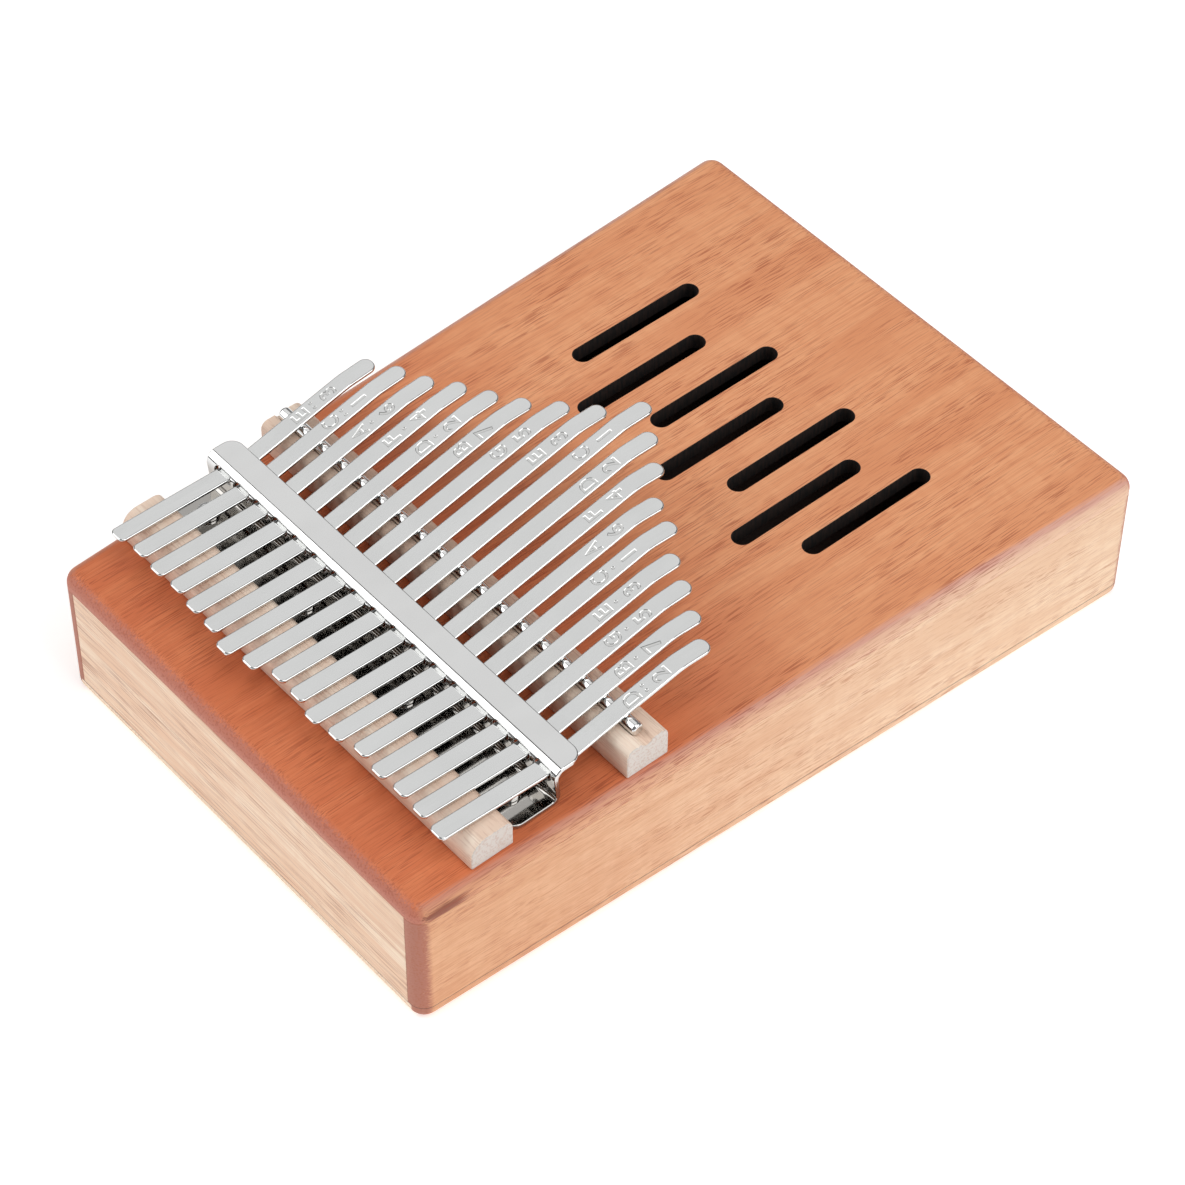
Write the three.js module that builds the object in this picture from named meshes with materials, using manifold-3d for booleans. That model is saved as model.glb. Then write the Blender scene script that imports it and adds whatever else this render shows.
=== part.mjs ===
// Seventeen-key kalimba, a modern mbira or thumb piano, in millimetres.
// +Z is up. The origin is at the middle of the sound box's underside. +Y runs along the tines from
// their tuning ends to the sound slots, and +X is to the right when looking along +Y.
// A trapezoid box of six thin boards carries two wooden bridges, a steel rod, a bent steel bracket
// held by screws, and seventeen flat steel tines that pass under the bracket's lip.
import * as THREE from "three";
import { mergeVertices } from "three/addons/utils/BufferGeometryUtils.js";
import Module from "manifold-3d";

const wasm = await Module();
wasm.setup();

// ---------------------------------------------------------------- driving dimensions

// Sound box
const BOX_LENGTH = 185;
const REAR_WIDTH = 115.2;
const FRONT_WIDTH = 132.6;
const BOX_HEIGHT = 35;
const BOARD = 4;
const EDGE_RADIUS = 3;
const CORNER_RADIUS = 3.6;
const EDGE_STEPS = 3;
const GLUE_GAP = 0.3;

// Sound slots: seven round-ended cuts along the grain, in two staggered rows
const SLOT_X = [-35.8, -23.1, -10.5, 1.5, 13.6, 25.2, 36.4];
const SLOT_ROWS_Y = [43.3, 34.0];
const SLOT_LENGTH = 34.4;
const SLOT_WIDTH = 4.4;

// Block inside the box that the bracket's screws bite into
const BLOCK_X = [-50, 50];
const BLOCK_Y = [-72, -30];
const BLOCK_HEIGHT = 8;

// Tines: evenly spaced where they pass through the bracket's wall, and spreading very slightly from there
const TINE_MIDDLE_X = -0.6;
const TINE_PITCH = 6.33;
const TINE_FAN = 0.0019; // radians between neighbours
const TINE_WIDTH = 4.05;
const TINE_THICKNESS = 0.85;
const TIP_Y = [-15.4, -12.2, -9.8, -6.3, -3.2, 0.3, 4.9, 9.3, 15.9, 11.9, 7.9, 2.4, 0.4, -4.4, -7.1, -10.2, -13.5];
const TAIL_Y = [
  -82.4, -81.6, -82.0, -81.7, -82.5, -82.8, -84.4, -82.8, -80.5, -80.7, -82.0, -81.3, -79.9, -80.6, -80.3, -80.6, -81.3,
];
const TIP_BEND_DEGREES = [8, 8, 9, 8, 10, 13, 12, 12, 11, 12, 14, 15, 14, 11, 10, 14, 13];
const TIP_BEND = 7.7; // length of the flatter tip
const BEND_Y = -50.3; // under the bracket's lip, where each tine turns upwards
const BEND_Z = 42.15; // height of the tine's middle there
const TAIL_SLOPE = -0.03;
const PLAY_SLOPE = 0.222;
const LIP_BEND_RADIUS = 24;
const TIP_BEND_RADIUS = 14;
const TIP_ROUND = 1.9;
const TAIL_ROUND = 1.2;

// Saddle rod, and the plane over its crest where a tine's held and playing lengths meet
const ROD_Y = -35.3;
const ROD_RADIUS = 1.5;
const ROD_X = [-56.9, 55.3];
const ROD_BEVEL = 0.4;
const CLEARANCE = 0.3;
const PART_GAP = 0.3;

// Wooden bridges
const SEAT_GAP = 0.1;
const FRONT_BRIDGE_X = [-58, 58.1];
const FRONT_BRIDGE_Y = [-40.5, -30];
const FRONT_BRIDGE_TOP = 42.6;
const FRONT_BRIDGE_ROUND = 1.8;
const REAR_BRIDGE_X = [-56.2, 55.8];
const REAR_BRIDGE_Y = [-77.5, -67.2];
const REAR_BRIDGE_TOP = 42;
const REAR_BRIDGE_ROUND = [4, 2];

// Bracket: a foot screwed to the soundboard, a slotted wall and a lip pressing on the tines
const SHEET = 1.1;
const BRACKET_X = [-56.8, 54];
const FOOT_Y = -66.3;
const WALL_FOOT_Y = -54.2;
const WALL_TOP_Y = -55;
const LIP_Y = -47.9;
const LIP_Z = 44.2;
const FOOT_BEND = 1.7;
const LIP_BEND = 2.05;
const BRACKET_CORNER = 3;
const TINE_SLOT_WIDTH = 5;
const TINE_SLOT_Z = [41, 43.35];
const TINE_SLOT_Y = [-57, -53];

// Screws through the bracket's foot
const SCREW_X = [-49.4, -17.4, 14.6, 46.6];
const SCREW_Y = -60.8;
const SCREW_LENGTH = 12;
const SHANK_RADIUS = 1.2;
const HEAD_RADIUS = 2.4;
const HEAD_HEIGHT = 1.5;
const ROUND_SEGMENTS = 16; // round the rod, the screws and their holes

// ---------------------------------------------------------------- materials

const soundboardWood = () => new THREE.MeshStandardMaterial({ color: 0xc97a4c, roughness: 0.55 });
const sideWood = () => new THREE.MeshStandardMaterial({ color: 0xe3ab7e, roughness: 0.6 });
const paleWood = () => new THREE.MeshStandardMaterial({ color: 0xe9d3b8, roughness: 0.7 });
const steel = () => new THREE.MeshStandardMaterial({ color: 0xd0d2d3, roughness: 0.22, metalness: 1 });
const plated = () => new THREE.MeshStandardMaterial({ color: 0xe4e5e6, roughness: 0.12, metalness: 1 });

// ---------------------------------------------------------------- solids and geometries

// A closed geometry as a solid that can be cut and joined.
function solid(geometry) {
  const bare = geometry.clone();
  bare.deleteAttribute("normal");
  bare.deleteAttribute("uv");
  const merged = mergeVertices(bare, 1e-4);
  const mesh = new wasm.Mesh({
    numProp: 3,
    vertProperties: merged.attributes.position.array,
    triVerts: new Uint32Array(merged.index.array),
  });
  return new wasm.Manifold(mesh);
}

// A solid back as a geometry.
function geometryOf(body) {
  const mesh = body.getMesh();
  const geometry = new THREE.BufferGeometry();
  geometry.setAttribute("position", new THREE.BufferAttribute(new Float32Array(mesh.vertProperties), 3));
  geometry.setIndex(new THREE.BufferAttribute(new Uint32Array(mesh.triVerts), 1));
  return geometry;
}

const cutAll = (body, cutters) => cutters.reduce((left, cutter) => left.subtract(cutter), body);

// An XY outline raised from z0 to z1.
function plate(shape, z0, z1, curveSegments = 6) {
  const geometry = new THREE.ExtrudeGeometry(shape, { depth: z1 - z0, bevelEnabled: false, curveSegments });
  return solid(geometry.translate(0, 0, z0));
}

// A YZ section run along X from x0 to x1.
function bar(shape, x0, x1, curveSegments = 6) {
  const geometry = new THREE.ExtrudeGeometry(shape, { depth: x1 - x0, bevelEnabled: false, curveSegments });
  const yzToSection = new THREE.Matrix4().makeBasis(
    new THREE.Vector3(0, 1, 0),
    new THREE.Vector3(0, 0, 1),
    new THREE.Vector3(1, 0, 0),
  );
  return solid(geometry.applyMatrix4(yzToSection).translate(x0, 0, 0));
}

function block(x, y, z) {
  const geometry = new THREE.BoxGeometry(x[1] - x[0], y[1] - y[0], z[1] - z[0]);
  return solid(geometry.translate((x[0] + x[1]) / 2, (y[0] + y[1]) / 2, (z[0] + z[1]) / 2));
}

// A convex outline, its corners given counterclockwise, each rounded by its own radius.
function roundedOutline(corners, radii) {
  const shape = new THREE.Shape();
  corners.forEach((corner, i) => {
    const back = corners.at(i - 1).clone().sub(corner).normalize();
    const onward = corners[(i + 1) % corners.length].clone().sub(corner).normalize();
    const radius = radii[i];
    if (radius === 0) {
      if (i === 0) shape.moveTo(corner.x, corner.y);
      else shape.lineTo(corner.x, corner.y);
      return;
    }
    const half = back.angleTo(onward) / 2;
    const centre = back.clone().add(onward).setLength(radius / Math.sin(half)).add(corner);
    const start = back.clone().setLength(radius / Math.tan(half)).add(corner).sub(centre);
    const end = onward.clone().setLength(radius / Math.tan(half)).add(corner).sub(centre);
    shape.absarc(centre.x, centre.y, radius, start.angle(), end.angle(), false);
  });
  shape.closePath();
  return shape;
}

function rectangle(x, y, radii) {
  const corners = [
    new THREE.Vector2(x[0], y[0]),
    new THREE.Vector2(x[1], y[0]),
    new THREE.Vector2(x[1], y[1]),
    new THREE.Vector2(x[0], y[1]),
  ];
  return roundedOutline(corners, radii);
}

// The edge-on section of a bent strip: its middle follows the given points, and each inner point is a
// bend of the given radius.
function bentStrip(points, radii, thickness) {
  const shape = new THREE.Shape();
  const legs = points.slice(1).map((point, i) => point.clone().sub(points[i]).normalize());
  const leftOf = (leg) => new THREE.Vector2(-leg.y, leg.x);
  const half = thickness / 2;
  const bends = radii.map((radius, i) => {
    const turn = Math.sign(legs[i].cross(legs[i + 1]));
    const tangent = radius * Math.tan(Math.acos(legs[i].dot(legs[i + 1])) / 2);
    const from = points[i + 1].clone().addScaledVector(legs[i], -tangent);
    const centre = from.clone().addScaledVector(leftOf(legs[i]), turn * radius);
    return { centre, turn, radius, before: legs[i], after: legs[i + 1] };
  });
  const arc = ({ centre, turn, radius, before, after }, side) => {
    const spoke = (leg) => leftOf(leg).multiplyScalar(-turn).angle();
    const [first, last] = side > 0 ? [before, after] : [after, before];
    const clockwise = side > 0 ? turn < 0 : turn > 0;
    shape.absarc(centre.x, centre.y, radius - side * turn * half, spoke(first), spoke(last), clockwise);
  };
  const start = points[0].clone().addScaledVector(leftOf(legs[0]), half);
  shape.moveTo(start.x, start.y);
  bends.forEach((bend) => arc(bend, 1));
  for (const side of [1, -1]) {
    const end = points.at(-1).clone().addScaledVector(leftOf(legs.at(-1)), side * half);
    shape.lineTo(end.x, end.y);
  }
  bends.toReversed().forEach((bend) => arc(bend, -1));
  const close = points[0].clone().addScaledVector(leftOf(legs[0]), -half);
  shape.lineTo(close.x, close.y);
  shape.closePath();
  return shape;
}

// ---------------------------------------------------------------- sound box

const halfLength = BOX_LENGTH / 2;
const halfWidth = (y) => (REAR_WIDTH + ((FRONT_WIDTH - REAR_WIDTH) * (y + halfLength)) / BOX_LENGTH) / 2;

// The trapezoid seen from above, drawn in from the box's outside by a distance.
function boxOutline(inset, radius) {
  const ends = [-halfLength + inset, halfLength - inset];
  const corners = [
    new THREE.Vector2(-halfWidth(ends[0]) + inset, ends[0]),
    new THREE.Vector2(halfWidth(ends[0]) - inset, ends[0]),
    new THREE.Vector2(halfWidth(ends[1]) - inset, ends[1]),
    new THREE.Vector2(-halfWidth(ends[1]) + inset, ends[1]),
  ];
  return roundedOutline(corners, corners.map(() => radius));
}

// The whole box as one solid with its edges rounded over. Each board is the share of it in its place.
function boxSolid() {
  const geometry = new THREE.ExtrudeGeometry(boxOutline(EDGE_RADIUS, CORNER_RADIUS - EDGE_RADIUS), {
    depth: BOX_HEIGHT - 2 * EDGE_RADIUS,
    bevelThickness: EDGE_RADIUS,
    bevelSize: EDGE_RADIUS,
    bevelSegments: EDGE_STEPS,
    curveSegments: 4,
  });
  return solid(geometry.translate(0, 0, EDGE_RADIUS));
}

const screwHoles = (radius, z0, z1) =>
  SCREW_X.map((x) => {
    const hole = new THREE.CylinderGeometry(radius, radius, z1 - z0, ROUND_SEGMENTS);
    return solid(hole.rotateX(Math.PI / 2).translate(x, SCREW_Y, (z0 + z1) / 2));
  });

const whole = boxSolid();
const wide = [-FRONT_WIDTH, FRONT_WIDTH];
const long = [-BOX_LENGTH, BOX_LENGTH];
const underTop = BOX_HEIGHT - BOARD;
const wallZ = [BOARD + GLUE_GAP, underTop - GLUE_GAP];

function topBoard() {
  const board = whole.intersect(block(wide, long, [underTop, BOX_HEIGHT + 1]));
  const slots = SLOT_X.map((x, i) => {
    const y = SLOT_ROWS_Y[i % 2];
    const across = [x - SLOT_WIDTH / 2, x + SLOT_WIDTH / 2];
    const along = [y - SLOT_LENGTH / 2, y + SLOT_LENGTH / 2];
    const round = SLOT_WIDTH / 2 - 0.01;
    return plate(rectangle(across, along, [round, round, round, round]), underTop - 1, BOX_HEIGHT + 1, 4);
  });
  return cutAll(board, [...slots, ...screwHoles(SHANK_RADIUS + CLEARANCE, underTop - 1, BOX_HEIGHT + 1)]);
}

const backBoard = () => whole.intersect(block(wide, long, [-1, BOARD]));

// A long side: what lies outside a line drawn parallel to the box's slanting edge.
function sideBoard(side) {
  const inner = (y) => side * (halfWidth(y) - BOARD);
  const outer = side * FRONT_WIDTH;
  const corners = [
    new THREE.Vector2(inner(-BOX_LENGTH), -BOX_LENGTH),
    new THREE.Vector2(outer, -BOX_LENGTH),
    new THREE.Vector2(outer, BOX_LENGTH),
    new THREE.Vector2(inner(BOX_LENGTH), BOX_LENGTH),
  ];
  const region = new THREE.Shape(side > 0 ? corners : corners.toReversed());
  return whole.intersect(plate(region, ...wallZ));
}

// An end, let in between the two sides.
function endBoard(y0, y1) {
  const reach = (y) => halfWidth(y) - BOARD - GLUE_GAP;
  const corners = [
    new THREE.Vector2(-reach(y0), y0),
    new THREE.Vector2(reach(y0), y0),
    new THREE.Vector2(reach(y1), y1),
    new THREE.Vector2(-reach(y1), y1),
  ];
  return whole.intersect(plate(new THREE.Shape(corners), ...wallZ));
}

function screwBlock() {
  const top = underTop - GLUE_GAP;
  const z = [top - BLOCK_HEIGHT, top];
  return cutAll(block(BLOCK_X, BLOCK_Y, z), screwHoles(SHANK_RADIUS + CLEARANCE, z[0] - 1, z[1] + 1));
}

// ---------------------------------------------------------------- bridges, rod, bracket, screws

const playLineZ = (y) => BEND_Z + PLAY_SLOPE * (y - BEND_Y);
const rodZ = playLineZ(ROD_Y) - (TINE_THICKNESS / 2) * Math.hypot(1, PLAY_SLOPE) - CLEARANCE - ROD_RADIUS;

function circle(y, z, radius) {
  return new THREE.Shape().absarc(y, z, radius, 0, 2 * Math.PI, false);
}

// The front bridge has a groove along its top for the rod.
function frontBridge() {
  const round = FRONT_BRIDGE_ROUND;
  const section = rectangle(FRONT_BRIDGE_Y, [BOX_HEIGHT + SEAT_GAP, FRONT_BRIDGE_TOP], [0, 0, round, round]);
  const groove = bar(circle(ROD_Y, rodZ, ROD_RADIUS + CLEARANCE), ...wide, 8);
  return bar(section, ...FRONT_BRIDGE_X, 4).subtract(groove);
}

function rearBridge() {
  const [back, front] = REAR_BRIDGE_ROUND;
  const section = rectangle(REAR_BRIDGE_Y, [BOX_HEIGHT + SEAT_GAP, REAR_BRIDGE_TOP], [0, 0, front, back]);
  return bar(section, ...REAR_BRIDGE_X, 5);
}

function saddleRod() {
  const [x0, x1] = ROD_X;
  const profile = [
    new THREE.Vector2(0, x0),
    new THREE.Vector2(ROD_RADIUS - ROD_BEVEL, x0),
    new THREE.Vector2(ROD_RADIUS, x0 + ROD_BEVEL),
    new THREE.Vector2(ROD_RADIUS, x1 - ROD_BEVEL),
    new THREE.Vector2(ROD_RADIUS - ROD_BEVEL, x1),
    new THREE.Vector2(0, x1),
  ];
  const turned = new THREE.LatheGeometry(profile, ROUND_SEGMENTS);
  return solid(turned.rotateZ(-Math.PI / 2).translate(0, ROD_Y, rodZ));
}

const fromMiddle = (index) => index - (TIP_Y.length - 1) / 2;
const tineX = (index) => TINE_MIDDLE_X + fromMiddle(index) * TINE_PITCH;
const footZ = BOX_HEIGHT + SEAT_GAP + SHEET / 2;

// One sheet bent to a Z, with a slot in its wall for each tine and holes in its foot for the screws.
function bracket() {
  const path = [
    new THREE.Vector2(FOOT_Y, footZ),
    new THREE.Vector2(WALL_FOOT_Y, footZ),
    new THREE.Vector2(WALL_TOP_Y, LIP_Z),
    new THREE.Vector2(LIP_Y, LIP_Z),
  ];
  const sheet = bar(bentStrip(path, [FOOT_BEND, LIP_BEND], SHEET), ...BRACKET_X, 5);
  const round = [BRACKET_CORNER, BRACKET_CORNER, BRACKET_CORNER, BRACKET_CORNER];
  const outline = plate(rectangle(BRACKET_X, [FOOT_Y, LIP_Y], round), BOX_HEIGHT, LIP_Z + SHEET, 4);
  const slots = TIP_Y.map((_, index) => {
    const x = [tineX(index) - TINE_SLOT_WIDTH / 2, tineX(index) + TINE_SLOT_WIDTH / 2];
    return block(x, TINE_SLOT_Y, TINE_SLOT_Z);
  });
  const holes = screwHoles(SHANK_RADIUS + CLEARANCE, BOX_HEIGHT - 1, BOX_HEIGHT + 2 * SHEET);
  return cutAll(sheet.intersect(outline), [...slots, ...holes]);
}

function screw(x) {
  const seat = footZ + SHEET / 2 + SEAT_GAP;
  const profile = [
    new THREE.Vector2(0, seat - SCREW_LENGTH),
    new THREE.Vector2(SHANK_RADIUS, seat - SCREW_LENGTH + 2 * SHANK_RADIUS),
    new THREE.Vector2(SHANK_RADIUS, seat),
    new THREE.Vector2(HEAD_RADIUS, seat),
    new THREE.Vector2(HEAD_RADIUS, seat + HEAD_HEIGHT / 2),
    new THREE.Vector2(HEAD_RADIUS * 0.75, seat + HEAD_HEIGHT),
    new THREE.Vector2(0, seat + HEAD_HEIGHT),
  ];
  const turned = new THREE.LatheGeometry(profile, ROUND_SEGMENTS);
  return solid(turned.rotateX(Math.PI / 2).translate(x, SCREW_Y, 0));
}

// ---------------------------------------------------------------- tines

// Edge-on, a tine runs down to its bend under the lip, up over the rod, and flattens near its tip.
function tineSection(index) {
  const tail = TAIL_Y[index];
  const tip = TIP_Y[index];
  const tipBend = new THREE.Vector2(tip - TIP_BEND, playLineZ(tip - TIP_BEND));
  const tipAngle = Math.atan(PLAY_SLOPE) - THREE.MathUtils.degToRad(TIP_BEND_DEGREES[index]);
  const path = [
    new THREE.Vector2(tail, BEND_Z + TAIL_SLOPE * (tail - BEND_Y)),
    new THREE.Vector2(BEND_Y, BEND_Z),
    tipBend,
    new THREE.Vector2(tip, tipBend.y + Math.tan(tipAngle) * TIP_BEND),
  ];
  return bentStrip(path, [LIP_BEND_RADIUS, TIP_BEND_RADIUS], TINE_THICKNESS);
}

// The share of a tine between two places along it, with its end corners rounded in plan. It is made
// about X = 0, and with Y counted from the bracket's wall, where the fan turns it.
function tineLength(index, y, radii) {
  const x = [-TINE_WIDTH / 2, TINE_WIDTH / 2];
  const outline = plate(rectangle(x, y, radii), BOX_HEIGHT, 2 * BOX_HEIGHT, 4);
  const strip = bar(tineSection(index), -TINE_WIDTH, TINE_WIDTH, 3);
  return strip.intersect(outline).translate(0, -WALL_FOOT_Y, 0);
}

const heldTine = (index) =>
  tineLength(index, [TAIL_Y[index], ROD_Y - PART_GAP / 2], [TAIL_ROUND, TAIL_ROUND, 0, 0]);

const playingTine = (index) =>
  tineLength(index, [ROD_Y + PART_GAP / 2, TIP_Y[index]], [0, 0, TIP_ROUND, TIP_ROUND]);

// ---------------------------------------------------------------- assembly

const kalimba = new THREE.Group();

function add(name, body, material) {
  const mesh = new THREE.Mesh(geometryOf(body), material);
  mesh.name = name;
  mesh.geometry.computeVertexNormals();
  kalimba.add(mesh);
  return mesh;
}

function addTinePart(name, body, index) {
  const mesh = add(name, body, steel());
  mesh.position.set(tineX(index), WALL_FOOT_Y, 0);
  mesh.rotation.z = -TINE_FAN * fromMiddle(index);
}

add("top_board", topBoard(), soundboardWood());
add("back_board", backBoard(), sideWood());
add("side_left", sideBoard(-1), sideWood());
add("side_right", sideBoard(1), sideWood());
add("end_rear", endBoard(-halfLength - 1, -halfLength + BOARD), sideWood());
add("end_front", endBoard(halfLength - BOARD, halfLength + 1), sideWood());
add("screw_block", screwBlock(), paleWood());
add("rear_bridge", rearBridge(), paleWood());
add("front_bridge", frontBridge(), paleWood());
add("saddle_rod", saddleRod(), steel());
add("bracket", bracket(), plated());
SCREW_X.forEach((x, i) => add(`bracket_screw_${i + 1}`, screw(x), steel()));
TIP_Y.forEach((_, index) => {
  const number = String(index + 1).padStart(2, "0");
  addTinePart(`tine_${number}_held`, heldTine(index), index);
  addTinePart(`tine_${number}_play`, playingTine(index), index);
});

export default kalimba;
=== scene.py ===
import math

import bpy
import numpy as np
from mathutils import Matrix, Vector
from mathutils.geometry import delaunay_2d_cdt

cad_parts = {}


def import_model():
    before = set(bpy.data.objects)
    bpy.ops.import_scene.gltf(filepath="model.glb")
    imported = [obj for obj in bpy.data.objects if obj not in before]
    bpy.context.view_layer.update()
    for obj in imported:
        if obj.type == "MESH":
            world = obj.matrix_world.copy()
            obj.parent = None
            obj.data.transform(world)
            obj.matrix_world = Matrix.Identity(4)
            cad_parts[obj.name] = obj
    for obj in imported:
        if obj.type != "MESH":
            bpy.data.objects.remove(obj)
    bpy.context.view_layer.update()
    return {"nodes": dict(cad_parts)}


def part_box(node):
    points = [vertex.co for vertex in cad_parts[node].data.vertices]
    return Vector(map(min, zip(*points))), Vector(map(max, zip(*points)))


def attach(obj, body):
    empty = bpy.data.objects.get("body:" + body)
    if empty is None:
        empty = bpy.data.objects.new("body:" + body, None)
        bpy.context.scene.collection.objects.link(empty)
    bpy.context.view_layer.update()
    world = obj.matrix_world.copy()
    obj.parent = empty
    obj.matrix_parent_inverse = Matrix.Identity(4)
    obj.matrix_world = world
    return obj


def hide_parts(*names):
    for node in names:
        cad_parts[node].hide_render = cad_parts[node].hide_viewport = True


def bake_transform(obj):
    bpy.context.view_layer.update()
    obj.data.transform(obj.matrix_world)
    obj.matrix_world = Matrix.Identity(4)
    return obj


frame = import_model()
MM = 0.001

# ---------------------------------------------------------------- dimensions

# Sound box
REAR_WIDTH = 115.2
FRONT_WIDTH = 132.6
BOARD = 4
EDGE_RADIUS = 3
CORNER_RADIUS = 3.6
EDGE_STEPS = 10
SEAM = 0.03  # glue line left open between two boards
SEAM_ROUND = 0.12
BASE_SEAM_ROUND = 0.03  # the back board's seam hardly shows
END_BOARD_ROUND = SEAM_ROUND * 1.5
PAINTED_SHADE_FROM = BOARD - 0.15  # above this height the back board is painted dark, as shade inside the box
PAINTED_SHADE_FADE = 0.1

# Sound slots
SLOT_X = [-35.8, -23.1, -10.5, 1.5, 13.6, 25.2, 36.4]
SLOT_ROWS_Y = [43.3, 34.0]
SLOT_LENGTH = 34.4
SLOT_WIDTH = 4.4
SLOT_ROUND = SLOT_WIDTH / 2 - 0.01  # just under half the width, so that its arcs don't share a point
SLOT_EDGE = 0.12

# Tines
TINES = 17
WALL_Y = -54.2  # where the tines pass through the bracket's wall
TINE_THICKNESS = 0.85
TINE_EDGE = 0.32
BEND_Y = -50.3
BEND_Z = 42.15
TAIL_SLOPE = -0.03
PLAY_SLOPE = 0.222
TIP_BEND = 7.7
LIP_BEND_RADIUS = 24
TIP_BEND_RADIUS = 14
TIP_ROUND = 1.95
TAIL_ROUND = 1.2
TIP_SAMPLE = 0.3  # the tip's height is taken over this length
TINE_BEND_STEPS = 5
FLEX = 2.5  # half the length over which a plucked tine turns, about the rod
FLEX_CREASES = 9

# Engraved note marks, read from the slots' side: a letter, a dot for each octave up, and a digit
DIGIT_FROM_TIP = 12.1
DOTS_FROM_TIP = 15.5
DOT_ROW = 1.4
DOT_SPREAD = 0.75
DOT_RADIUS = 0.4
LETTER_FROM_TIP = 18.2
GLYPH_HEIGHT = 3.8
GLYPH_WIDTH = 2.7
GLYPH_WEIGHT = 0.025  # added all round a stroke, counted in letter sizes
ENGRAVING = 0.08
MARK_SLOPE = 1.4  # how far the walls of a mark lean in for each unit of depth

# Bracket
SHEET = 1.1
SHEET_EDGE = 0.3
WALL_TOP_Y = -55
FOOT_BEND = 1.7
LIP_BEND = 2.05
BRACKET_CORNER = 3
BRACKET_BEND_STEPS = 12
TINE_SLOT_WIDTH = 5
TINE_SLOT_Z = [41, 43.35]
TINE_SLOT_ROUND = 1.1

# Bridges, rod and screws
FRONT_BRIDGE_ROUND = 1.8
REAR_BRIDGE_ROUND = [4, 2]
BRIDGE_FOOT_ROUND = 0.3
BRIDGE_END_ROUND = 0.35
ROD_CLEARANCE = 0.12
GROOVE_POINTS = 24
ROD_DOME = 0.7
SCREWS = 4
SHANK_RADIUS = 1.2
POINT_LENGTH = 2.4 * SHANK_RADIUS
POINT_SHARE = 0.15  # the radius at a screw's very end, as a share of the shank's
THREAD_DEPTH = 0.28
THREAD_PITCH = 1.1
HEAD_HEIGHT = 1.5
HEAD_DOME = 0.9
HEAD_GAP = 0.01  # between a screw's shank and its head
RECESS_ARM = [0.32, 1.35]
RECESS_DEPTH = 0.8

# Dark fleck on the soundboard's right edge
KNOT_MIDDLE = (57.6, -85.8, 32.3)
KNOT_REACH = (1.3, 5.8, 1.4)

# Small lengths
SAME_POINT = 1e-6  # points and heights that are closer than this count as one
ON_CREASE = 1e-5  # a point that is this close to a crease's height lies on it
STEP_BACK = 1e-9  # keeps a length inside its own piece of a bend


# ---------------------------------------------------------------- the frame's numbers

def box(node):
    """Lowest and highest corner of a CAD node, in millimetres."""
    low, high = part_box(node)
    return np.array(low) / MM, np.array(high) / MM


def cad_points(*nodes):
    """All corners of some CAD nodes, in millimetres."""
    points = [v.co for node in nodes for v in frame["nodes"][node].data.vertices]
    return np.array(points) / MM


BOX_LOW, BOX_HIGH = box("top_board")
BOX_HEIGHT = BOX_HIGH[2]
HALF_LENGTH = BOX_HIGH[1]


# ---------------------------------------------------------------- outlines in a plane

def unit(vector):
    vector = np.asarray(vector, float)
    return vector / np.linalg.norm(vector, axis=-1, keepdims=True)


def rounded(corners, radii, steps=8):
    """An outline with each corner rounded by its own radius. A radius of 0 keeps the corner."""
    corners = np.asarray(corners, float)
    points = []
    for i, (corner, radius) in enumerate(zip(corners, radii)):
        if radius == 0:
            points.append(corner)
            continue
        back = unit(corners[i - 1] - corner)
        onward = unit(corners[(i + 1) % len(corners)] - corner)
        half = math.acos(np.clip(back @ onward, -1, 1)) / 2
        centre = corner + unit(back + onward) * radius / math.sin(half)
        spoke = corner + back * radius / math.tan(half) - centre
        side = np.sign(onward[0] * back[1] - onward[1] * back[0])
        for turn in np.linspace(0, side * (math.pi - 2 * half), steps + 1):
            cos, sin = math.cos(turn), math.sin(turn)
            points.append(centre + [cos * spoke[0] - sin * spoke[1], sin * spoke[0] + cos * spoke[1]])
    return np.array(points)


def rectangle(x, y, radii, steps=8):
    corners = [(x[0], y[0]), (x[1], y[0]), (x[1], y[1]), (x[0], y[1])]
    return rounded(corners, np.broadcast_to(radii, 4), steps)


def circle(centre, radius, steps):
    turn = np.arange(steps) * 2 * math.pi / steps
    return np.array(centre) + radius * np.stack([np.cos(turn), np.sin(turn)], axis=1)


def hole(outline):
    """The same outline with the material outside it."""
    return outline[::-1]


def with_points_at(loop, heights):
    """The loop with a point added wherever it crosses one of the heights in its second coordinate."""
    points = []
    for start, end in zip(loop, np.roll(loop, -1, axis=0)):
        points.append(start)
        low, high = sorted((start[1], end[1]))
        cuts = [h for h in heights if low + SAME_POINT < h < high - SAME_POINT]
        for h in sorted(cuts, reverse=bool(end[1] < start[1])):
            share = (h - start[1]) / (end[1] - start[1])
            points.append(start + share * (end - start))
    return np.array(points)


def edge_sides(loop, sharpest=math.radians(40)):
    """For a loop with its material on the left: at each point, the way out of the material, long enough to
    keep moved edges parallel, and the outward normals there of the edges that leave and reach the point."""
    run = unit(np.roll(loop, -1, axis=0) - loop)
    leaving = np.stack([run[:, 1], -run[:, 0]], axis=1)
    reaching = np.roll(leaving, 1, axis=0)
    agree = (leaving * reaching).sum(axis=1, keepdims=True)
    out = (leaving + reaching) / (1 + agree)
    smooth = agree > math.cos(sharpest)
    middle = unit(leaving + reaching)
    return out, np.where(smooth, middle, leaving), np.where(smooth, middle, reaching)


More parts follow.
